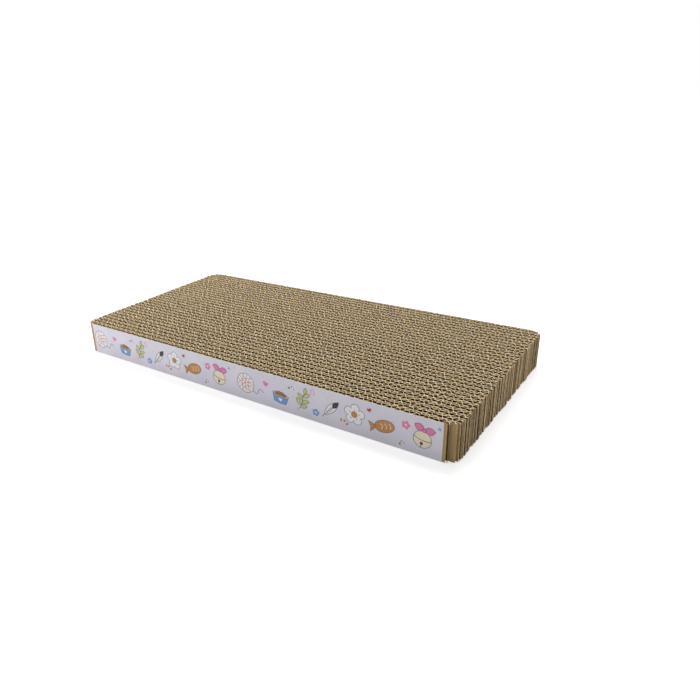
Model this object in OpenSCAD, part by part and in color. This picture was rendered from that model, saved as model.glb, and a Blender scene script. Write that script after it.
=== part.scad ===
// Flat cat scratcher of corrugated cardboard: strips of double-wall board stand on edge, glued face to face, so that
// the cut edges are the scratching face. A band of printed paper covers the front long side, and another the rear.
// The origin is the centre of the pad's underside. +X runs along the pad, +Y to the rear, +Z up.

/* [Pad] */
// Length of the pad, along the strips
pad_l = 425; // [200:5:600]
// Height of the pad, which is the width that each strip is cut to
pad_h = 33; // [15:1:80]
// Number of strips glued side by side
strip_count = 32; // [12:1:40]
// Radius of the pad's four upright corners, seen from above
corner_r = 11; // [3:1:30]

/* [Board] */
// Thickness of each of the three flat liners in a strip
liner_t = 0.25; // [0.15:0.05:0.5]
// Thickness of both fluted sheets, measured straight across the strip
flute_paper_t = 0.26; // [0.16:0.02:0.5]
// Gap left for glue between a flute's crest and the liner beside it
glue_gap = 0.02; // [0.01:0.01:0.1]

/* [Large flutes] */
// Length of one wave of the large flutes
large_pitch = 7.85; // [6:0.05:10]
// Space between the liners that hold the large flutes
large_space = 3.45; // [2.5:0.05:4.5]

/* [Small flutes] */
// Length of one wave of the small flutes
small_pitch = 6.55; // [5:0.05:8]
// Space between the liners that hold the small flutes
small_space = 2.35; // [1.8:0.05:3.2]

/* [Bands] */
// Thickness of the printed paper bands
band_t = 0.2; // [0.1:0.05:0.5]

/* [Hidden] */
// Share of a wave by which each strip's cut starts later than its neighbour's
large_shift_share = 0.31;
small_shift_share = 0.27;
// Share of a wave by which that start wavers, and the angle by which the waver turns from strip to strip
waver_share = 0.22;
waver_angle = 151;
// Circles are true arcs at any number above 12
$fn = 48;

board_t = 3 * liner_t + large_space + small_space;
pad_w = strip_count * board_t + 2 * band_t;
middle_liner_y = liner_t + large_space;
last_liner_y = board_t - liner_t;

function strip_name(i) = str("strip_", i < 10 ? "0" : "", i);

kraft = "#c79a63";
printed_paper = "#ded9e6";

// Share of a wave that strip i's end cuts off
function cut_off_share(i, shift_share) = (i * shift_share + waver_share * (1 + sin(i * waver_angle))) % 1;

// One side of a fluted sheet, as a zigzag from crest to crest that covers the pad's length
function flute_side(pitch, low, high, start) =
    [for (i = [0:ceil((pad_l / 2 - start) / (pitch / 2))]) [start + i * pitch / 2, i % 2 == 0 ? low : high]];

// The pad's outline seen from above
module pad_plan() {
    straight_l = pad_l - 2 * corner_r;
    straight_w = pad_w - 2 * corner_r;
    square([pad_l, straight_w], center = true);
    square([straight_l, pad_w], center = true);
    for (x = [-1, 1], y = [-1, 1])
        translate([x * straight_l / 2, y * straight_w / 2]) circle(r = corner_r);
}

module liner_plan(y) {
    translate([-pad_l / 2, y]) square([pad_l, liner_t]);
}

// Section of a fluted sheet between two liners, whose first crest lies a share of a wave before the pad's end
module flute_plan(pitch, space, y, before_share) {
    start = -pad_l / 2 - before_share * pitch;
    low = y + glue_gap;
    high = y + space - glue_gap;
    front = flute_side(pitch, low, high - flute_paper_t, start);
    rear = flute_side(pitch, low + flute_paper_t, high, start);
    count = len(rear);
    polygon(concat(front, [for (i = [1:count]) rear[count - i]]));
}

module strip(i) {
    strip_y = -pad_w / 2 + band_t + (i - 1) * board_t;
    color(kraft) linear_extrude(pad_h) intersection() {
        translate([0, strip_y]) {
            liner_plan(0);
            liner_plan(middle_liner_y);
            liner_plan(last_liner_y);
            flute_plan(large_pitch, large_space, liner_t, cut_off_share(i, large_shift_share));
            flute_plan(small_pitch, small_space, middle_liner_y + liner_t, cut_off_share(i, small_shift_share));
        }
        pad_plan();
    }
}

// A paper band covers the straight part of a long side, over its full height
module band(y) {
    straight_l = pad_l - 2 * corner_r;
    color(printed_paper) translate([-straight_l / 2, y, 0]) cube([straight_l, band_t, pad_h]);
}

module front_band() {
    band(-pad_w / 2);
}

module rear_band() {
    band(pad_w / 2 - band_t);
}

for (i = [1:strip_count])
    strip(i);
front_band();
rear_band();
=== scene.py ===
"""A flat cat scratcher: strips of double-wall corrugated board on edge, glued side by side, with a band of
printed paper along each long side. It lies on a pale floor under soft light. Lengths are in metres."""

from collections import namedtuple
from math import pi, radians

import bpy
import numpy as np
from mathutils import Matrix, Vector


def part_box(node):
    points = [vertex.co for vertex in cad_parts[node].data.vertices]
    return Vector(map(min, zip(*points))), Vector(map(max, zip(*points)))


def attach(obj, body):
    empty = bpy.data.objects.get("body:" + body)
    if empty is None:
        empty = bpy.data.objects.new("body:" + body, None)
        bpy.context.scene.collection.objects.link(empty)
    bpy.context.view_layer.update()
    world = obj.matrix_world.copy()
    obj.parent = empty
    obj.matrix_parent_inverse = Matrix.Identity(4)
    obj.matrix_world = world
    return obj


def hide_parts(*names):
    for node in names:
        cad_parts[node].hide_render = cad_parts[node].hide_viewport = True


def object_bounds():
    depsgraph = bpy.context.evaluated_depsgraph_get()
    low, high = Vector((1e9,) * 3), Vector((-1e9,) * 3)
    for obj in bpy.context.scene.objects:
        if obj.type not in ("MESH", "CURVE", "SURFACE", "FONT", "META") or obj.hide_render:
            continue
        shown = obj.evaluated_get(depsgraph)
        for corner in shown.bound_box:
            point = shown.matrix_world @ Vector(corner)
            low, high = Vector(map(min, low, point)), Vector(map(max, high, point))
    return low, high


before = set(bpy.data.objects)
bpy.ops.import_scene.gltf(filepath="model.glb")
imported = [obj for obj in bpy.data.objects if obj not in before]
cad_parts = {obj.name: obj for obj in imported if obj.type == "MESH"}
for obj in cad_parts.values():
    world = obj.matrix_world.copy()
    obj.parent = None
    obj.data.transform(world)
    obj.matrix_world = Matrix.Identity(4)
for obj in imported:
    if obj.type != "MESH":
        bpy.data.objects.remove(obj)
scene = bpy.context.scene
scene.view_settings.view_transform = "Standard"
cad_box = [list(corner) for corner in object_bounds()]

MM = 0.001
ROOT = "root"


def srgb(red, green, blue):
    """Linear colour of an 8-bit sRGB one."""
    part = np.array([red, green, blue]) / 255
    linear = np.where(part > 0.04045, ((part + 0.055) / 1.055) ** 2.4, part / 12.92)
    return (*linear, 1.0)


# Camera

CAMERA_PLACE = (0.34607, -0.47857, 0.26373)
CAMERA_TURN_DEGREES = (66.52602, 2.54224, 36.25969)
CAMERA_LENS_MM = 31.66315
CAMERA_SHIFT_X_SHARE = 0.09175


def add_camera():
    data = bpy.data.cameras.new("camera")
    data.lens = CAMERA_LENS_MM
    data.shift_x = CAMERA_SHIFT_X_SHARE
    camera = bpy.data.objects.new("camera", data)
    camera.location = CAMERA_PLACE
    camera.rotation_euler = [radians(angle) for angle in CAMERA_TURN_DEGREES]
    scene.collection.objects.link(camera)
    scene.camera = camera


add_camera()


# The pad, and the board of one strip from its front liner to its last

PAD_LOW, PAD_HIGH = (np.array(corner) for corner in cad_box)
PAD_LENGTH, PAD_WIDTH, PAD_HEIGHT = PAD_HIGH - PAD_LOW
CORNER_R = 11 * MM
STRIPS = sorted(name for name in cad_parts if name.startswith("strip_"))

# Thicknesses square to the paper, and how far a liner's columns of points are apart
LINER_T = 0.25 * MM
FLUTE_PAPER_T = 0.2 * MM
LINER_STEP = 2 * MM

# A kind of fluting: the space between the liners that hold it, the length of a wave, the share of a wave by
# which each strip's cut starts later than its neighbour's, the columns of points in a wave, the thickness
# that it swells to at the top and bottom and at its ends, and how much painted shade darkens its channels
Flutes = namedtuple("Flutes", "space pitch shift_share steps_per_wave edges darkness")
LARGE = Flutes(
    space=3.45 * MM,
    pitch=7.85 * MM,
    shift_share=0.31,
    steps_per_wave=14,
    edges=(0.5 * MM, 0.26 * MM),
    # Painted shade at full strength in the large channels
    darkness=1.0,
)
SMALL = Flutes(
    space=2.35 * MM,
    pitch=6.55 * MM,
    shift_share=0.27,
    steps_per_wave=12,
    edges=(0.9 * MM, 0.8 * MM),
    # Weaker painted shade in the small channels
    darkness=0.6,
)

# Share of a wave by which the start of a strip's cut wavers, and how far the waver turns from strip to strip
WAVER_SHARE = 0.22
WAVER_DEGREES = 151

# Steepness of a wave's flanks, from 0 for a plain sine
FLANK = 1.6

# What makes flutes uneven: their phase wanders and leans with height, and they are crushed in places
PHASE_WANDER = 0.4
PHASE_LENGTHS = (130 * MM, 57 * MM, 23 * MM)
PHASE_LEAN = 0.2
CRUSHED_PLACES = 3
CRUSHED_SHARES = (0.03, 0.2)
CRUSHED_LENGTH = 9 * MM

# The fray at a cut: how deep it goes, how far the paper bends sideways there and how unevenly it ends. The
# liners' edges are their thickness at the top and bottom, and at their ends.
FRAY_DEPTH = 0.7 * MM
FRAY_SIDEWAYS = 0.14 * MM
FRAY_LENGTHS = (17 * MM, 6.1 * MM, 3.3 * MM)
FRAY_JITTER = 0.2
FRAY_UP = 0.1 * MM
LINER_EDGES = (LINER_T, 0.6 * MM)

# How unevenly the strips are cut and glued: limits of how far their left and right ends stand in, how much
# further a single sheet may, how much higher or lower a strip is, and how far the seams wander
STRIP_END_RECESS = ((-0.15 * MM, 0.3 * MM), (-0.5 * MM, 0.9 * MM))
SHEET_END_RECESS = 0.1 * MM
STRIP_RISE = 0.12 * MM
INNER_WANDER = 0.12 * MM
OUTER_WANDER = 0.06 * MM
SEAM_LENGTHS = (310 * MM, 170 * MM, 93 * MM, 47 * MM)

# Lighter and darker paper: limits of tone for a strip, a liner and a fluted sheet, and its wander along one
STRIP_TONES = (-0.5, 0.5)
LINER_TONES = (-0.5, 0.5)
FLUTE_TONES = (-0.9, 0.1)
TONE_WANDER = 0.25
TONE_LENGTHS = (120 * MM, 61 * MM)

SEAM_SEED = 41
RECESS_SEED = 5
STRIP_SEED = 100
SEED_LIMIT = 1 << 30


# Surfaces

# A sheet has four rows of points, from the underside to the top, and the outer two lie at a cut
AT_CUT = np.array([1.0, 0, 0, 1.0])
ROWS = len(AT_CUT)
SHARP_DEGREES = 50

END_SEARCH_LENGTH = PAD_LENGTH / 2 + 1 * MM
END_SEARCH_POINTS = 2200


def wander(x, lengths, rng):
    """A smooth random line from -1 to 1: the mean of one sine per length, each with a random phase."""
    phases = rng.uniform(0, 2 * pi, len(lengths))
    waves = [np.sin(2 * pi * x / length + phase) for length, phase in zip(lengths, phases)]
    return sum(waves) / len(lengths)


def sheet_grid(x, height, edge):
    """(x, z) of a sheet's points as (columns, rows) grids. Its inner rows lie edge within the outer two."""
    return np.meshgrid(x, np.array([0, edge, height - edge, height]), indexing="ij")


def sheet_faces(columns, rows):
    """Quads of a closed slab. Its point i * 2 * rows + j is point j of column i's ring, which runs up the
    front face and down the rear one. Each ring joins the next, and the first and last are capped."""
    ring = 2 * rows
    i, j = np.meshgrid(np.arange(columns - 1), np.arange(ring), indexing="ij")
    here, above = i * ring + j, i * ring + (j + 1) % ring
    sides = np.stack([here, here + ring, above + ring, above], axis=-1).reshape(-1, 4)
    k = np.arange(rows - 1)
    cap = np.stack([k, k + 1, ring - 2 - k, ring - 1 - k], axis=-1)
    return np.concatenate([sides, cap, cap[:, ::-1] + (columns - 1) * ring])


def sheet(front, rear, cut):
    """The closed slab between two (columns, rows, 3) grids, as a part. cut is its (columns, rows) mask."""
    points = np.concatenate([front, rear[:, ::-1]], axis=1).reshape(-1, 3)
    mask = np.concatenate([cut, cut[:, ::-1]], axis=1).ravel()
    return {"points": points, "faces": [sheet_faces(*cut.shape)], "cut": mask}


def mesh_of(name, parts, numbers=(), colours=()):
    """One mesh of several parts. A part is a dict with points, faces (a list of index arrays, each of
    equal-sided faces) and a value per point for every attribute named in numbers and colours."""
    points = np.concatenate([part["points"] for part in parts])
    starts = np.cumsum([0] + [len(part["points"]) for part in parts[:-1]])
    faces = [face + start for part, start in zip(parts, starts) for face in part["faces"]]
    sides = np.concatenate([np.full(len(face), face.shape[1]) for face in faces])
    corners = np.concatenate([face.ravel() for face in faces])
    mesh = bpy.data.meshes.new(name)
    mesh.vertices.add(len(points))
    mesh.vertices.foreach_set("co", points.astype(np.float32).ravel())
    mesh.loops.add(len(corners))
    mesh.loops.foreach_set("vertex_index", corners.astype(np.int32))
    mesh.polygons.add(len(sides))
    mesh.polygons.foreach_set("loop_start", (np.cumsum(sides) - sides).astype(np.int32))
    for kind, key, names in (("FLOAT", "value", numbers), ("FLOAT_COLOR", "color", colours)):
        for attribute_name in names:
            values = np.concatenate([part[attribute_name] for part in parts])
            attribute = mesh.attributes.new(attribute_name, kind, "POINT")
            attribute.data.foreach_set(key, values.astype(np.float32).ravel())
    mesh.update(calc_edges=True)
    mesh.set_sharp_from_angle(angle=radians(SHARP_DEGREES))
    return mesh


def place(name, mesh, material, slot, *nodes):
    """Makes a piece of the mesh. It rides with the pad and stands for the given nodes."""
    piece = bpy.data.objects.new(name, mesh)
    scene.collection.objects.link(piece)
    mesh.materials.append(material)
    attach(piece, ROOT)
    if nodes:
        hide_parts(*nodes)


def end_x(y):
    """Half length of the pad at depth y: straight, then along the quarter circle of an upright corner."""
    past = np.clip(np.abs(y) - (PAD_WIDTH / 2 - CORNER_R), 0, CORNER_R)
    return PAD_LENGTH / 2 - CORNER_R + np.sqrt(CORNER_R**2 - past**2)


def reach(y_at, side, recess):
    """How far from the middle a sheet whose depth is y_at(x) goes: as far as the pad's outline, less the
    recess, lets it. side is -1 for the left end and 1 for the right one."""
    steps = np.linspace(0, END_SEARCH_LENGTH, END_SEARCH_POINTS)
    outside = steps > end_x(y_at(side * steps)) - recess
    return steps[np.argmax(outside) - 1]


def cut_sheet(x, y_at, thickness, edges, height, rng):
    """A paper sheet on edge. Its middle is y_at(x, z), and its faces lie half its thickness to either side,
    which along y is half the thickness times the root of one plus the slope squared. Over the fray's depth at
    every cut, the paper swells to its edges' thickness: edges has one for the top and bottom, and one for the
    ends. At the top and bottom it also bends sideways along a short random line, and each of its columns ends
    a little higher or lower, but none below the underside."""
    grid_x, grid_z = sheet_grid(x, height, FRAY_DEPTH)
    bends = [wander(x, FRAY_LENGTHS, rng) + FRAY_JITTER * rng.normal(0, 1, len(x)) for _ in range(ROWS)]
    sideways = FRAY_SIDEWAYS * np.stack(bends, axis=-1) * AT_CUT
    up = rng.normal(0, FRAY_UP, (len(x), ROWS)) * AT_CUT
    up[:, 0] = np.abs(up[:, 0])
    middle = y_at(grid_x, grid_z)
    slope = np.gradient(middle, x, axis=0)
    middle = middle + sideways
    at_end = np.zeros((len(x), 1))
    at_end[[0, -1]] = 1
    top_edge, end_edge = edges
    swelling = np.maximum((top_edge - thickness) * AT_CUT, (end_edge - thickness) * at_end)
    half = (thickness + swelling) / 2 * np.sqrt(1 + slope**2)
    front = np.stack([grid_x, middle - half, grid_z + up], axis=-1)
    rear = np.stack([grid_x, middle + half, grid_z + up], axis=-1)
    return sheet(front, rear, np.maximum(AT_CUT, at_end))


# Strips

seams_rng = np.random.default_rng(SEAM_SEED)


def seam_line(n):
    """The line that glued seam n follows along the pad, as a function of x. The outer two are straighter."""
    depth = OUTER_WANDER if n in (0, len(STRIPS)) else INNER_WANDER
    seed = int(seams_rng.integers(SEED_LIMIT))
    return lambda x: depth * wander(x, SEAM_LENGTHS, np.random.default_rng(seed))


seams = [seam_line(n) for n in range(len(STRIPS) + 1)]

# How far strip n stands in at its left end, recesses[0, n], and at its right one, recesses[1, n]
recess_rng = np.random.default_rng(RECESS_SEED)
recesses = np.array([recess_rng.uniform(*limits, len(STRIPS)) for limits in STRIP_END_RECESS])


def strip_mesh(n, name):
    """Five sheets between two seams: liner, large flutes, liner, small flutes, liner. A fluted sheet's middle
    is the sine, flattened at its crests by tanh, of a phase that grows with x, wanders a little and leans
    with height. Its waves start where the part's do, and are lower where they are crushed."""
    rng = np.random.default_rng(STRIP_SEED + n)
    low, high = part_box(name)
    depth = high.y - low.y
    height = PAD_HEIGHT + rng.uniform(-1, 1) * STRIP_RISE
    strip_tone = rng.uniform(*STRIP_TONES)
    sheets = []

    # The strip whose end lies beside a sheet's, by the sheet's place in its own strip
    beside = {"front": max(n - 1, 0), "inner": n, "rear": min(n + 1, len(STRIPS) - 1)}

    def across(offset):
        """Depth along y at an offset from the strip's front, between its two seams, as a function of x."""
        share = offset / depth
        return lambda x: low.y + share * depth + (1 - share) * seams[n](x) + share * seams[n + 1](x)

    def add(y_at, thickness, edges, step, tone, painted_shade_strength, place_in_strip="inner"):
        """Adds a sheet. inside has the strength of the shade painted in the channels before and behind it.
        from_end, which places that shade behind an end, counts from where its neighbours towards the pad's
        long side end, not from its own end, because it shows up to there."""
        ends, shown_to = [], []
        for side in (0, 1):
            direction = 2 * side - 1
            recess = recesses[side, n] + rng.uniform(0, SHEET_END_RECESS)
            end = reach(lambda x: y_at(x, PAD_HEIGHT / 2), direction, recess)
            y_of_end = abs(y_at(direction * end, PAD_HEIGHT / 2))
            neighbour = end_x(y_of_end + LARGE.space) - recesses[side, beside[place_in_strip]]
            ends.append(direction * end)
            shown_to.append(direction * min(end, neighbour))
        x_low, x_high = ends
        x = np.linspace(x_low + FRAY_DEPTH, x_high - FRAY_DEPTH, int((x_high - x_low) / step))
        part = cut_sheet(np.concatenate([[x_low], x, [x_high]]), y_at, thickness, edges, height, rng)
        along = part["points"][:, 0]
        part["tone"] = strip_tone + tone + TONE_WANDER * wander(along, TONE_LENGTHS, rng)
        # The strength of the painted shade on the sheet's front face, then on its rear one, in every column
        part["painted_shade_strength"] = np.tile(np.repeat(painted_shade_strength, ROWS), len(along) // (2 * ROWS))
        part["from_end"] = np.minimum(along - shown_to[0], shown_to[1] - along)
        sheets.append(part)

    def add_liner(offset, painted_shade_strength, place_in_strip="inner"):
        middle = across(offset + LINER_T / 2)
        tone = rng.uniform(*LINER_TONES)
        add(lambda x, z: middle(x), LINER_T, LINER_EDGES, LINER_STEP, tone, painted_shade_strength, place_in_strip)

    def add_flutes(offset, kind):
        middle = across(offset + kind.space / 2)
        waver = WAVER_SHARE * (1 + np.sin(radians((n + 1) * WAVER_DEGREES)))
        cut_off_share = ((n + 1) * kind.shift_share + waver) % 1
        first_crest = -PAD_LENGTH / 2 - cut_off_share * kind.pitch
        lean = rng.normal(0, PHASE_LEAN)
        phase_seed = int(rng.integers(SEED_LIMIT))
        crushed_at = rng.uniform(-PAD_LENGTH / 2, PAD_LENGTH / 2, CRUSHED_PLACES)
        crushed_by = rng.uniform(*CRUSHED_SHARES, CRUSHED_PLACES)
        swing = (kind.space - FLUTE_PAPER_T) / 2

        def y_at(x, z):
            phase = 2 * pi * (x - first_crest) / kind.pitch - pi / 2 + lean * (z / PAD_HEIGHT - 0.5)
            phase = phase + PHASE_WANDER * wander(x, PHASE_LENGTHS, np.random.default_rng(phase_seed))
            from_places = [(x - at) / CRUSHED_LENGTH for at in crushed_at]
            crush = sum(by * np.exp(-(away**2)) for away, by in zip(from_places, crushed_by))
            return middle(x) + swing * np.tanh(FLANK * np.sin(phase)) / np.tanh(FLANK) * (1 - crush)

        step = kind.pitch / kind.steps_per_wave
        tone = rng.uniform(*FLUTE_TONES)
        add(y_at, FLUTE_PAPER_T, kind.edges, step, tone, (kind.darkness, kind.darkness))

    # Painted shade in the channels on either side of each liner, and none on the outer faces of the outer
    # strips
    large, small = LARGE.darkness, SMALL.darkness
    add_liner(0, (large if n > 0 else 0, large), "front")
    add_flutes(LINER_T, LARGE)
    add_liner(LINER_T + LARGE.space, (large, small))
    add_flutes(2 * LINER_T + LARGE.space, SMALL)
    add_liner(depth - LINER_T, (small, large if n < len(STRIPS) - 1 else 0), "rear")
    return mesh_of(name + "_board", sheets, ("cut", "tone", "painted_shade_strength", "from_end"))


# Materials

def new_group(name, inputs, outputs):
    """An empty shader node group. inputs and outputs are lists of (name, socket type)."""
    group = bpy.data.node_groups.new(name, "ShaderNodeTree")
    for socket_name, kind in inputs:
        group.interface.new_socket(socket_name, in_out="INPUT", socket_type="NodeSocket" + kind)
    for socket_name, kind in outputs:
        group.interface.new_socket(socket_name, in_out="OUTPUT", socket_type="NodeSocket" + kind)
    return group


class Nodes:
    """Adds nodes to a tree and joins them, so that a material reads as a list of steps."""

    def __init__(self, tree):
        self.tree = tree

    def add(self, kind, settings=None, **inputs):
        node = self.tree.nodes.new(kind)
        for key, value in (settings or {}).items():
            setattr(node, key, value)
        for socket, value in inputs.items():
            self.put(node, socket, value)
        return node

    def put(self, node, socket, value):
        """Sets a socket, given by its name or number, to a value, or links it from another socket."""
        if isinstance(value, bpy.types.NodeSocket):
            self.tree.links.new(value, node.inputs[socket])
        else:
            node.inputs[socket].default_value = value

    def math(self, operation, a, b):
        node = self.add("ShaderNodeMath", {"operation": operation})
        self.put(node, 0, a)
        self.put(node, 1, b)
        return node.outputs[0]

    def mix(self, share, a, b, blend="MIX"):
        """A share of colour b over colour a. A Mix node's sockets 6 and 7 and output 2 are its colours."""
        node = self.add("ShaderNodeMix", {"data_type": "RGBA", "blend_type": blend})
        self.put(node, 0, share)
        self.put(node, 6, a)
        self.put(node, 7, b)
        return node.outputs[2]

    def ramp(self, value, low, high):
        """A smooth rise from 0 at low to 1 at high."""
        node = self.add("ShaderNodeMapRange", {"interpolation_type": "SMOOTHSTEP"})
        self.put(node, 0, value)
        self.put(node, 1, low)
        self.put(node, 2, high)
        return node.outputs[0]

    def grey(self, level):
        return self.add("ShaderNodeCombineColor", Red=level, Green=level, Blue=level).outputs[0]

    def place_on_piece(self):
        return self.add("ShaderNodeTexCoord").outputs["Object"]

    def attribute(self, name, output="Fac"):
        return self.add("ShaderNodeAttribute", {"attribute_name": name}).outputs[output]

    def fibres(self, fineness):
        """The outputs of the shared group of paper fibres."""
        return self.add("ShaderNodeGroup", {"node_tree": PAPER_FIBRES}, Fineness=fineness).outputs

    def bump(self, height, strength, distance):
        node = self.add("ShaderNodeBump", Height=height, Strength=strength, Distance=distance)
        return node.outputs["Normal"]


# The noises of paper seen close: scale at a fineness of 1, detail and roughness
FIBRE_NOISE = (4200.0, 4.0, 0.7)
SPECK_NOISE = (1500.0, 2.0, 0.55)
PATCH_NOISE = (420.0, 2.0, 0.55)
CLOUD_NOISE = (90.0, 3.0, 0.55)

# How fibres and specks are drawn out along x, where specks begin and are full, and how strong the clouds are
FIBRE_STRETCH = (0.22, 1.0, 1.0)
SPECK_LIMITS = (0.66, 0.74)
CLOUD_STRENGTH = 0.8
MEAN_OF_NOISE = 0.5


def paper_fibres():
    """Pulp seen close: fine fibres that run along x, specks, patches a few millimetres wide and broad
    cloudiness. Shade is centred on 0, Specks and Patches are masks, and Height lifts the fibres."""
    outputs = [("Shade", "Float"), ("Specks", "Float"), ("Patches", "Float"), ("Height", "Float")]
    group = new_group("paper_fibres", [("Fineness", "Float")], outputs)
    nodes = Nodes(group)
    fineness = nodes.add("NodeGroupInput").outputs[0]
    even = nodes.place_on_piece()
    stretched = nodes.add("ShaderNodeMapping", Vector=even, Scale=FIBRE_STRETCH).outputs[0]

    def noise(vector, scale, detail, roughness):
        scale = nodes.math("MULTIPLY", fineness, scale)
        node = nodes.add("ShaderNodeTexNoise", Vector=vector, Scale=scale, Detail=detail, Roughness=roughness)
        return node.outputs["Fac"]

    fibres = noise(stretched, *FIBRE_NOISE)
    fine = nodes.math("SUBTRACT", fibres, MEAN_OF_NOISE)
    cloud = nodes.math("SUBTRACT", noise(even, *CLOUD_NOISE), MEAN_OF_NOISE)
    shade = nodes.math("ADD", fine, nodes.math("MULTIPLY", cloud, CLOUD_STRENGTH))
    output = nodes.add("NodeGroupOutput")
    nodes.put(output, "Shade", shade)
    nodes.put(output, "Specks", nodes.ramp(noise(stretched, *SPECK_NOISE), *SPECK_LIMITS))
    nodes.put(output, "Patches", noise(even, *PATCH_NOISE))
    nodes.put(output, "Height", fibres)
    return group


PAPER_FIBRES = paper_fibres()


def material_with(name):
    """(material, its Nodes, its Principled BSDF)."""
    material = bpy.data.materials.new(name)
    material.use_nodes = True
    return material, Nodes(material.node_tree), material.node_tree.nodes["Principled BSDF"]


KRAFT_WALL = srgb(203, 174, 128)
KRAFT_WALL_DARK = srgb(173, 141, 96)
KRAFT_CUT = srgb(244, 222, 184)
KRAFT_CUT_DARK = srgb(210, 184, 144)
# Painted shade: the near-black brown that the walls in the holes are painted with
KRAFT_PAINTED_SHADE = srgb(28, 7, 0)
KRAFT_SPECK = srgb(112, 84, 56)
KRAFT_ROUGHNESS = 0.92
KRAFT_BUMP = (0.35, 0.1 * MM)

# The tones at which walls are dark and light, and how strongly specks and fibres show
TONE_LIMITS = (-1.2, 1.0)
SPECK_STRENGTH = 0.5
SHADE_STRENGTH = 0.5

# Torn fibres: how sharply they fade below a cut, how ragged their edge is, and where they and their patches
# begin and are full
TORN_FADE = 2.6
TORN_RAGGEDNESS = 0.5
TORN_LIMITS = (0.25, 0.75)
PATCH_LIMITS = (0.35, 0.65)

# Painted shade in the holes: depths at which it begins and is full below the top, behind an end, where it
# reaches only the share given last below, and deep down
PAINTED_SHADE_BELOW_TOP = (0.1 * MM, 0.3 * MM)
PAINTED_SHADE_BEHIND_END = (0.05 * MM, 0.35 * MM)
PAINTED_SHADE_DEEP_DOWN = (1 * MM, 7 * MM)
PAINTED_SHADE_UNEVENNESS = 0.6 * MM
END_PAINTED_SHADE = 0.86


def painted_hole_shade(nodes, unevenness):
    """How much shade is painted on the board in its holes, from 0 at a cut to 1. It grows at once below
    the top and above the underside. Behind an end, where a flute's wall closes each hole, it grows to a
    share, and to 1 deep down."""
    z = nodes.add("ShaderNodeSeparateXYZ", Vector=nodes.place_on_piece()).outputs["Z"]
    from_face = nodes.math("MINIMUM", nodes.math("SUBTRACT", PAD_HEIGHT, z), z)
    below_face = nodes.ramp(nodes.math("ADD", from_face, unevenness), *PAINTED_SHADE_BELOW_TOP)
    from_end = nodes.math("ADD", nodes.attribute("from_end"), unevenness)
    behind_end = nodes.math("MULTIPLY", nodes.ramp(from_end, *PAINTED_SHADE_BEHIND_END), END_PAINTED_SHADE)
    deep_inside = nodes.math("MULTIPLY", nodes.ramp(from_end, *PAINTED_SHADE_DEEP_DOWN), 1 - END_PAINTED_SHADE)
    return nodes.math("MULTIPLY", below_face, nodes.math("ADD", behind_end, deep_inside))


def kraft_board():
    """Brown kraft paper: fibrous walls with painted shade into the holes, and paler torn fibres at every cut.
    """
    material, nodes, shader = material_with("kraft_board")
    fibres = nodes.fibres(fineness=1.0)
    wall = nodes.mix(nodes.ramp(nodes.attribute("tone"), *TONE_LIMITS), KRAFT_WALL_DARK, KRAFT_WALL)
    wall = nodes.mix(nodes.math("MULTIPLY", fibres["Specks"], SPECK_STRENGTH), wall, KRAFT_SPECK)
    # Painted shade: the walls go near black into the holes, as strongly as each sheet's attribute says
    painted_shade_amount = painted_hole_shade(nodes, nodes.math("MULTIPLY", fibres["Shade"], PAINTED_SHADE_UNEVENNESS))
    wall = nodes.mix(nodes.math("MULTIPLY", painted_shade_amount, nodes.attribute("painted_shade_strength")), wall, KRAFT_PAINTED_SHADE)
    torn = nodes.mix(nodes.ramp(fibres["Patches"], *PATCH_LIMITS), KRAFT_CUT_DARK, KRAFT_CUT)
    near_cut = nodes.math("POWER", nodes.attribute("cut"), TORN_FADE)
    ragged = nodes.math("ADD", near_cut, nodes.math("MULTIPLY", fibres["Shade"], TORN_RAGGEDNESS))
    colour = nodes.mix(nodes.ramp(ragged, *TORN_LIMITS), wall, torn)
    shade = nodes.math("ADD", nodes.math("MULTIPLY", fibres["Shade"], SHADE_STRENGTH), 1.0)
    nodes.put(shader, "Base Color", nodes.mix(1.0, colour, nodes.grey(shade), "MULTIPLY"))
    nodes.put(shader, "Roughness", KRAFT_ROUGHNESS)
    nodes.put(shader, "Specular IOR Level", 0.0)
    nodes.put(shader, "Normal", nodes.bump(fibres["Height"], *KRAFT_BUMP))
    return material


BAND_WHITE = srgb(238, 235, 245)
BAND_SHADE = srgb(226, 222, 236)
BAND_SHADE_LIMITS = (-0.35, 0.35)
BAND_CUT = srgb(240, 236, 232)
BAND_CUT_STRENGTH = 0.7
BAND_ROUGHNESS = 0.55
BAND_BUMP = (0.12, 0.05 * MM)
INK_WEAR = 0.35
INK_ROUGHNESS = 0.5
COATED_SPECULAR = 0.4
COATED_UNEVENNESS = 0.2


def coated(nodes, shader, fibres, roughness):
    """Gives a shader the gloss of coated paper, which is uneven with the fibres below it."""
    unevenness = nodes.math("MULTIPLY", fibres["Shade"], COATED_UNEVENNESS)
    nodes.put(shader, "Roughness", nodes.math("ADD", unevenness, roughness))
    nodes.put(shader, "Specular IOR Level", COATED_SPECULAR)


def band_paper():
    """Coated paper with a faint lavender tint, cloudy and finely fibrous, and warmer at its cut edges."""
    material, nodes, shader = material_with("band_paper")
    fibres = nodes.fibres(fineness=0.5)
    colour = nodes.mix(nodes.ramp(fibres["Shade"], *BAND_SHADE_LIMITS), BAND_SHADE, BAND_WHITE)
    colour = nodes.mix(nodes.math("MULTIPLY", nodes.attribute("cut"), BAND_CUT_STRENGTH), colour, BAND_CUT)
    nodes.put(shader, "Base Color", colour)
    coated(nodes, shader, fibres, BAND_ROUGHNESS)
    nodes.put(shader, "Normal", nodes.bump(fibres["Height"], *BAND_BUMP))
    return material


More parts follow.
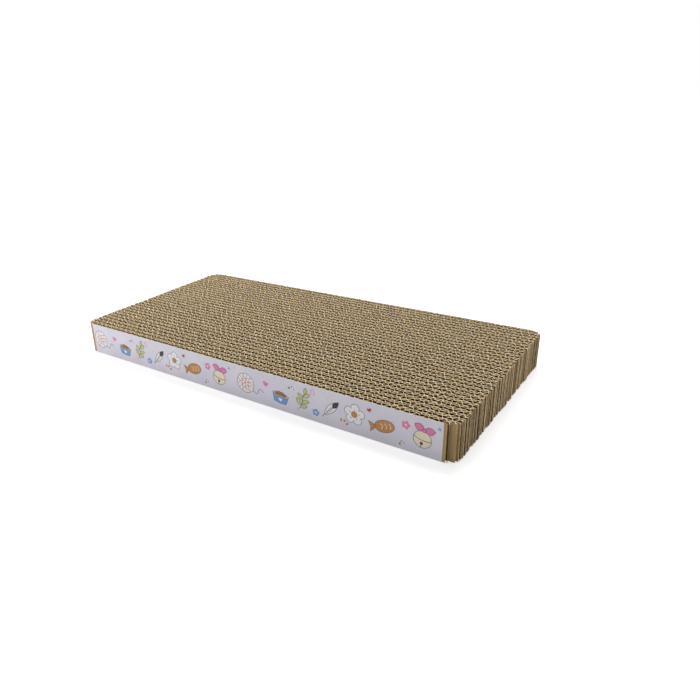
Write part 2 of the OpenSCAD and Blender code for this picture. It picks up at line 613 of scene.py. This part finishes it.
def printing_ink():
    """Ink on the band: its colour is the piece's own attribute, broken a little by the paper's fibres."""
    material, nodes, shader = material_with("printing_ink")
    fibres = nodes.fibres(fineness=0.8)
    worn = nodes.math("MULTIPLY", fibres["Specks"], INK_WEAR)
    nodes.put(shader, "Base Color", nodes.mix(worn, nodes.attribute("ink", "Color"), BAND_WHITE))
    coated(nodes, shader, fibres, INK_ROUGHNESS)
    return material


kraft = kraft_board()
paper = band_paper()
ink = printing_ink()

for n, name in enumerate(STRIPS):
    place(name + "_board", strip_mesh(n, name), kraft, "kraft_board", name)


# Bands

BAND_LENGTH = PAD_LENGTH - 2 * CORNER_R
BAND_T = 0.2 * MM
BAND_STEP = 2 * MM
BAND_SEED = 7

# How far the look of a band's cut reaches in, how uneven its upper edge is, and how its ends lift
BAND_EDGE = 0.6 * MM
BAND_UNEVENNESS = 0.03 * MM
BAND_END_LIFT = 0.1 * MM
BAND_LIFT_LENGTH = 8 * MM


def band_face(side):
    """Depth along y of a band's outer face, as a function of x. side is -1 for the front and 1 for the rear.
    The face follows the outermost seam, and lifts a hair at its ends, where the glue stops."""
    seam = seams[0] if side < 0 else seams[-1]

    def y_at(x):
        lift = BAND_END_LIFT * np.exp((np.abs(x) - BAND_LENGTH / 2) / BAND_LIFT_LENGTH)
        return seam(x) + side * (PAD_WIDTH / 2 + lift)

    return y_at


def band_mesh(name, side):
    """A thin paper sheet over the pad's full height, whose upper edge is a little uneven. Its inner face lies
    its thickness behind the outer one."""
    rng = np.random.default_rng(BAND_SEED + side)
    x = np.linspace(-BAND_LENGTH / 2, BAND_LENGTH / 2, int(BAND_LENGTH / BAND_STEP))
    grid_x, grid_z = sheet_grid(x, PAD_HEIGHT, BAND_EDGE)
    grid_z[:, -1] += rng.normal(0, BAND_UNEVENNESS, len(x))
    outer = band_face(side)(grid_x)
    inner = outer - side * BAND_T
    front, rear = (outer, inner) if side < 0 else (inner, outer)
    cut = np.tile(AT_CUT, (len(x), 1))
    cut[[0, -1]] = 1
    faces = [np.stack([grid_x, y, grid_z], axis=-1) for y in (front, rear)]
    return mesh_of(name, [sheet(*faces, cut)], ("cut",))


for side, node in ((-1, "front_band"), (1, "rear_band")):
    place(node + "_paper", band_mesh(node + "_paper", side), paper, "printed_paper", node)


# Print on the bands: toys, treats, flowers and leaves, with small marks between them. Its shapes are in
# millimetres, and each lies in a layer, from 0 on the paper upwards.

# Length of the repeat, how many are begun, how far ink stays from the paper's edges and the middle of a motif
# from its ends, and how wide outlines are
PRINT_REPEAT = 204.0
PRINT_REPEATS = 3
PRINT_EDGE = 0.15
PRINT_END_MARGIN = 1.0
OUTLINE_W = 0.42

# How far ink stands above the paper, the share by which each layer adds to that, and how far it goes in
INK_T = 0.02 * MM
INK_T_PER_LAYER = 0.4
INK_SUNK = BAND_T / 4

INKS = {
    "pink": srgb(240, 134, 186),
    "blue": srgb(126, 166, 228),
    "green": srgb(208, 212, 132),
    "orange": srgb(206, 146, 84),
    "charcoal": srgb(66, 62, 68),
    "brick": srgb(188, 88, 80),
    "line": srgb(106, 84, 92),
    "white": srgb(250, 248, 250),
    "cream": srgb(248, 236, 206),
}


# Points round an outline, in each petal and along a curve
OVAL_POINTS = 28
LEAF_POINTS = 24
HEART_POINTS = 26
PETAL_POINTS = 12
CURVE_POINTS = 18


def full_turn(points):
    """The angles of as many points round a circle."""
    return np.linspace(0, 2 * pi, points, endpoint=False)


def oval(x, y, half_w, half_h, points=OVAL_POINTS):
    """An ellipse about (x, y)."""
    t = full_turn(points)
    return np.stack([x + half_w * np.cos(t), y + half_h * np.sin(t)], axis=-1)


def rosette(radius, petals, notch):
    """Round petals: the radius dips by a share between them, as the root of a cosine without its sign."""
    t = full_turn(PETAL_POINTS * petals)
    r = radius * (1 - notch + notch * np.sqrt(np.abs(np.cos(petals * t / 2))))
    return np.stack([r * np.cos(t), r * np.sin(t)], axis=-1)


def leaf(x, y, length, width, turn_degrees):
    """A lens with pointed ends, whose width is a sine to the power 1.8 from tip to tip. It starts at (x, y)
    and points in the direction that it is turned to."""
    t = full_turn(LEAF_POINTS)
    along, across = length / 2 * (1 + np.cos(t)), width / 2 * np.sin(t) * np.abs(np.sin(t)) ** 0.8
    return turned(np.stack([along, across], axis=-1), turn_degrees) + (x, y)


def heart(y, size):
    """A heart as wide as its size, at height y. Across it is 16 times the cube of the sine. Up it is the sum
    of 13, -5, -2 and -1 times the cosines of one to four times the angle."""
    t = full_turn(HEART_POINTS)
    across = 16 * np.sin(t) ** 3
    up = 13 * np.cos(t) - 5 * np.cos(2 * t) - 2 * np.cos(3 * t) - np.cos(4 * t)
    return np.stack([-across * size / 32, y + up * size / 32], axis=-1)


def curve(*through):
    """A smooth line through the given points, along the polynomial with as many terms as there are points."""
    through = np.array(through, float)
    t = np.linspace(0, 1, len(through))
    fits = [np.polyfit(t, through[:, k], len(through) - 1) for k in (0, 1)]
    return np.stack([np.polyval(fit, np.linspace(0, 1, CURVE_POINTS)) for fit in fits], axis=-1)


def turned(points, degrees):
    """Points turned anticlockwise about the origin."""
    c, s = np.cos(radians(degrees)), np.sin(radians(degrees))
    return points @ np.array([[c, s], [-s, c]])


def fill(colour, outline, layer=0):
    """A filled shape of the print."""
    return {"colour": colour, "points": np.array(outline, float), "width": 0, "layer": layer}


def line(colour, path, width=OUTLINE_W, closed=False, layer=3):
    """A drawn line of the print."""
    points = np.array(path, float)
    return {"colour": colour, "points": points, "width": width, "closed": closed, "layer": layer}


def outlined(colour, outline, layer=0):
    """A filled shape, and its outline in the layer above."""
    return [fill(colour, outline, layer), line("line", outline, closed=True, layer=layer + 1)]


def wool_ball(colour, thread):
    """A ball crossed by three families of bent threads, with a loose end."""
    shapes = outlined(colour, oval(0, 0, 8.6, 8.6))
    for family, turn in enumerate((15, 75, 135)):
        for offset in (-4.6, -1.6, 1.6):
            half = np.sqrt(8.2**2 - offset**2)
            path = curve((-half, offset), (0, offset + 1.9), (half, offset))
            shapes.append(line(thread, turned(path, turn), width=0.38, layer=2 + family))
    tail = curve((6.4, -5.6), (10.5, -8.2), (13.5, -4.6), (17, -7.4))
    return [line("line", tail, width=0.5)] + shapes


def fish_biscuit(colour):
    tail = [(-6.6, 0), (-10, -2.6), (-13.2, -4.8), (-11.8, 0), (-13.2, 4.8), (-10, 2.6)]
    shapes = outlined(colour, tail) + outlined(colour, oval(0, 0, 8.4, 5.2), layer=1)
    for x in (-3.2, 0.4, 4.0):
        shapes.append(line("cream", curve((x, -2.3), (x + 1.5, 0), (x, 2.3)), width=0.6))
    return shapes


def food_bowl(colour):
    right = [(8.6, 2.4), (7.4, -1.5), (6.4, -5.2)]
    left = [(-x, y) for x, y in reversed(right)]
    side = right + [(0, -5.8)] + left + [(0, 1.4)]
    shapes = outlined(colour, side) + outlined("cream", oval(0, 2.6, 8.7, 2.1), layer=1)
    for x, y in ((-4.6, 3.4), (-1.6, 4.6), (1.8, 4.4), (4.7, 3.3), (0, 3.0), (3.0, 2.6), (-3.0, 2.6)):
        shapes += outlined("orange", oval(x, y, 1.7, 1.25, points=14), layer=3)
    return shapes + [fill("white", heart(-2.2, 4.0), layer=3)]


def round_bell(colour, bow):
    shapes = outlined(colour, oval(0, -1.2, 6.8, 6.8))
    shapes.append(line("line", curve((-6.6, -0.6), (0, -2.0), (6.6, -0.6)), width=0.5))
    shapes.append(fill("charcoal", oval(0, -4.6, 1.2, 1.2, points=14), layer=3))
    shapes.append(line("charcoal", [(0, -4.6), (0, -7.8)], width=0.55))
    for turn in (18, 162):
        shapes += outlined(bow, leaf(0, 6.2, 8.2, 5.6, turn), layer=2)
    return shapes + outlined(bow, oval(0, 6.2, 1.5, 1.5, points=14), layer=4)


def blossom(colour, middle):
    shapes = outlined(colour, rosette(8.2, petals=5, notch=0.42))
    shapes += outlined(middle, oval(0, 0, 2.3, 2.3, points=18), layer=1)
    for turn in range(0, 360, 72):
        shapes.append(line("line", turned(np.array([(3.0, 0), (4.8, 0)]), turn), width=0.35))
    return shapes


def sprig(colour):
    shapes = [line("line", curve((-1.5, -9), (0.6, -2), (-0.4, 5), (0.8, 9)), width=0.5, layer=0)]
    for x, y, turn in ((-0.4, -5.4, 28), (0.2, -3.6, 150), (0.3, -0.4, 34), (0.1, 1.6, 146), (0.2, 5.0, 50)):
        shapes += outlined(colour, leaf(x, y, 7.6, 3.9, turn), layer=1)
    return shapes + outlined(colour, leaf(0.6, 8.2, 6.4, 3.6, 96), layer=1)


def plume(colour, tip):
    """A feather: a long leaf with a darker tip, a quill and slanted barbs."""
    shapes = outlined(colour, leaf(-9.5, -1.5, 20, 6.8, 8))
    shapes.append(fill(tip, leaf(1.6, 0.1, 8.6, 4.6, 8), layer=1))
    shapes.append(line("line", curve((-13, -2.2), (-4, -0.8), (8.6, 1.0)), width=0.45, layer=4))
    for x in (-6, -3.4, -0.8, 1.8):
        y = -1.3 + 0.14 * (x + 6)
        for tip_of_barb in ((x + 1.7, y + 2.0), (x + 2.0, y - 1.6)):
            shapes.append(line("line", [(x, y), tip_of_barb], width=0.32))
    return shapes


def small_heart(colour):
    return [fill(colour, heart(0, 6.4))]


def small_blossom(colour):
    middle = oval(0, 0, 1.0, 1.0, points=12)
    return [fill(colour, rosette(3.4, petals=5, notch=0.45)), fill("cream", middle, layer=1)]


def small_ring(colour):
    return [line(colour, oval(0, 0, 2.5, 2.5, points=22), width=0.5, closed=True)]


def small_drops(colour):
    places = ((-2.6, 0.2, 118), (0, 1.2, 92), (2.6, 0, 62))
    return [fill(colour, leaf(x, y, 3.6, 2.2, turn)) for x, y, turn in places]


def small_dots(colour):
    places = ((-2.2, -0.6, 0.9), (0.4, 1.2, 0.65), (2.4, -0.9, 0.5))
    return [fill(colour, oval(x, y, radius, radius, points=14)) for x, y, radius in places]


def small_cross(colour):
    across = line(colour, [(-1.9, 0), (1.9, 0)], width=0.7)
    return [across, line(colour, [(0, -1.9), (0, 1.9)], width=0.7, layer=4)]


# Motif, place along the band, height above its lower edge, turn in degrees, scale
PRINT = [
    (wool_ball("white", "brick"), 11, 17, 10, 1.12),
    (small_heart("pink"), 34, 22, -14, 0.95),
    (food_bowl("blue"), 50, 13, -6, 1.0),
    (small_dots("charcoal"), 62, 25.5, 0, 1.0),
    (sprig("green"), 73, 15.5, -18, 0.98),
    (small_ring("pink"), 84, 27, 0, 0.85),
    (small_blossom("blue"), 87, 9, 8, 1.05),
    (plume("white", "charcoal"), 102, 17, 38, 1.0),
    (small_drops("orange"), 114, 7, -20, 0.9),
    (blossom("white", "orange"), 124, 18, 12, 1.15),
    (small_heart("brick"), 137.5, 26, 18, 0.65),
    (fish_biscuit("orange"), 151, 15.5, 14, 1.05),
    (small_blossom("pink"), 169, 22.5, 0, 1.1),
    (small_dots("charcoal"), 166, 6, 30, 0.9),
    (round_bell("cream", "pink"), 183, 15.5, -10, 1.08),
    (small_cross("blue"), 196, 27, 10, 0.9),
]


def fill_part(outline):
    """(points, faces) of a flat patch between 0 and 1 along n. It fans out from its middle to the outline
    through a ring half way, drops to 0 there, and closes below. Points are (u, v, n), and the outline runs
    anticlockwise."""
    count = len(outline)
    middle = outline.mean(axis=0)
    half_way = (outline + middle) / 2
    flat = np.concatenate([[middle], half_way, outline, outline, [middle]])
    n = np.concatenate([np.ones(1 + 2 * count), np.zeros(count + 1)])
    j = np.arange(count)
    after = (j + 1) % count
    front_middle, inner, outer, rear, rear_middle = np.cumsum([0, 1, count, count, count])
    triangles = [
        np.stack([np.full(count, front_middle), inner + j, inner + after], axis=-1),
        np.stack([np.full(count, rear_middle), rear + after, rear + j], axis=-1),
    ]
    quads = [
        np.stack([inner + j, outer + j, outer + after, inner + after], axis=-1),
        np.stack([outer + j, rear + j, rear + after, outer + after], axis=-1),
    ]
    return np.column_stack([flat, n]), [np.concatenate(triangles), np.concatenate(quads)]


def line_part(path, width, closed):
    """(points, faces) of a ribbon: a rectangle from 0 to 1 along n, carried along the path square to it."""
    count = len(path)
    if closed:
        along = np.roll(path, -1, axis=0) - np.roll(path, 1, axis=0)
    else:
        along = np.gradient(path, axis=0)
    along /= np.linalg.norm(along, axis=1, keepdims=True)
    aside = np.stack([-along[:, 1], along[:, 0]], axis=-1) * width / 2
    left, right = path + aside, path - aside
    flat = np.stack([right, left, left, right], axis=1).reshape(-1, 2)
    n = np.tile([1.0, 1, 0, 0], count)
    i = np.arange(count if closed else count - 1)[:, None]
    j = np.arange(4)[None]
    next_i, next_j = (i + 1) % count, (j + 1) % 4
    corners = [4 * i + j, 4 * next_i + j, 4 * next_i + next_j, 4 * i + next_j]
    faces = np.stack(corners, axis=-1).reshape(-1, 4)
    if not closed:
        faces = np.concatenate([faces, [[0, 1, 2, 3]], 4 * (count - 1) + np.array([[3, 2, 1, 0]])])
    return np.column_stack([flat, n]), [faces]


def print_part(shape, turn, scale, at, side):
    """A shape of the print as a part on a band. u runs to the right and v up, for someone who faces the band.
    Ink past the paper's edge is drawn in to that edge, as where a printed sheet is cut."""
    flat = turned(shape["points"] * scale, turn) + at
    if shape["width"]:
        points, faces = line_part(flat, shape["width"], shape["closed"])
    else:
        ahead = np.roll(flat, -1, axis=0)
        anticlockwise = np.sum(flat[:, 0] * ahead[:, 1] - ahead[:, 0] * flat[:, 1]) > 0
        points, faces = fill_part(flat if anticlockwise else flat[::-1])
    u_limit = BAND_LENGTH / 2 - PRINT_EDGE * MM
    u = np.clip(points[:, 0] * MM, -u_limit, u_limit)
    v = np.clip(points[:, 1] * MM, PRINT_EDGE * MM, PAD_HEIGHT - PRINT_EDGE * MM)
    above_paper = INK_T * (1 + INK_T_PER_LAYER * shape["layer"])
    n = np.where(points[:, 2] > 0, above_paper, -INK_SUNK)
    x = -side * u
    y = band_face(side)(x) + side * n
    ink_colour = np.tile(INKS[shape["colour"]], (len(x), 1))
    return {"points": np.stack([x, y, v], axis=-1), "faces": faces, "ink": ink_colour}


def print_mesh(name, side, start):
    """The repeating print of one band, whose first repeat begins start millimetres left of its left end."""
    parts = []
    half = BAND_LENGTH / 2 / MM
    for repeat in range(PRINT_REPEATS):
        for shapes, u, v, turn, scale in PRINT:
            middle = -half - start + repeat * PRINT_REPEAT + u
            if abs(middle) < half - PRINT_END_MARGIN:
                parts += [print_part(shape, turn, scale, (middle, v), side) for shape in shapes]
    return mesh_of(name, parts, colours=("ink",))


for side, name, start in ((-1, "front_print", 0), (1, "rear_print", 77)):
    place(name, print_mesh(name, side, start), ink, "printed_paper")


# Floor, backdrop and light

WHITE = (1, 1, 1, 1)
FLOOR_SIZE = 12.0
FLOOR_DROP = 0.05 * MM
FLOOR_COLOUR = srgb(215, 215, 215)

# Strength of the floor's glow, and of the even light from all round
FLOOR_GLOW = 0.6
AMBIENT = 0.35


def add_floor():
    """A matt floor just below the pad, whose glow only the camera sees."""
    half = FLOOR_SIZE / 2
    corners = [(x * half, y * half, -FLOOR_DROP) for x, y in ((-1, -1), (1, -1), (1, 1), (-1, 1))]
    mesh = bpy.data.meshes.new("floor")
    mesh.from_pydata(corners, [], [(0, 1, 2, 3)])
    floor = bpy.data.objects.new("floor", mesh)
    scene.collection.objects.link(floor)
    material, nodes, shader = material_with("white_floor")
    nodes.put(shader, "Base Color", FLOOR_COLOUR)
    nodes.put(shader, "Roughness", 1.0)
    nodes.put(shader, "Specular IOR Level", 0.0)
    nodes.put(shader, "Emission Color", WHITE)
    seen = nodes.add("ShaderNodeLightPath").outputs["Is Camera Ray"]
    nodes.put(shader, "Emission Strength", nodes.math("MULTIPLY", seen, FLOOR_GLOW))
    mesh.materials.append(material)


def add_world():
    """White behind everything that the camera sees, and a dimmer even light on the pad."""
    world = bpy.data.worlds.new("world")
    scene.world = world
    world.use_nodes = True
    nodes = Nodes(world.node_tree)
    background = world.node_tree.nodes["Background"]
    seen = nodes.add("ShaderNodeLightPath").outputs["Is Camera Ray"]
    nodes.put(background, "Color", WHITE)
    nodes.put(background, "Strength", nodes.math("ADD", nodes.math("MULTIPLY", seen, 1 - AMBIENT), AMBIENT))


def add_lamp(name, kind, comes_from, energy, **shape):
    """A lamp whose light comes from a point and is aimed at the pad's middle. shape is the rest of its
    settings."""
    data = bpy.data.lights.new(name, kind)
    data.energy = energy
    for key, value in shape.items():
        setattr(data, key, value)
    lamp = bpy.data.objects.new(name, data)
    scene.collection.objects.link(lamp)
    x, y, z = comes_from
    lamp.location = comes_from
    lamp.rotation_euler = (np.arctan2(np.hypot(x, y), z), 0, np.arctan2(y, x) + pi / 2)


add_floor()
add_world()
add_lamp("key", "SUN", (-0.3, 0.9, 1.6), energy=1.2, angle=radians(30))
add_lamp("left_fill", "AREA", (-0.6, -0.5, 0.2), energy=1.95, shape="DISK", size=0.4)
add_lamp("right_fill", "AREA", (0.5, 0.35, 0.15), energy=0.5, shape="DISK", size=0.25)
add_lamp("left_top", "AREA", (-0.42, 0.4, 0.72), energy=3.5, shape="DISK", size=0.5)
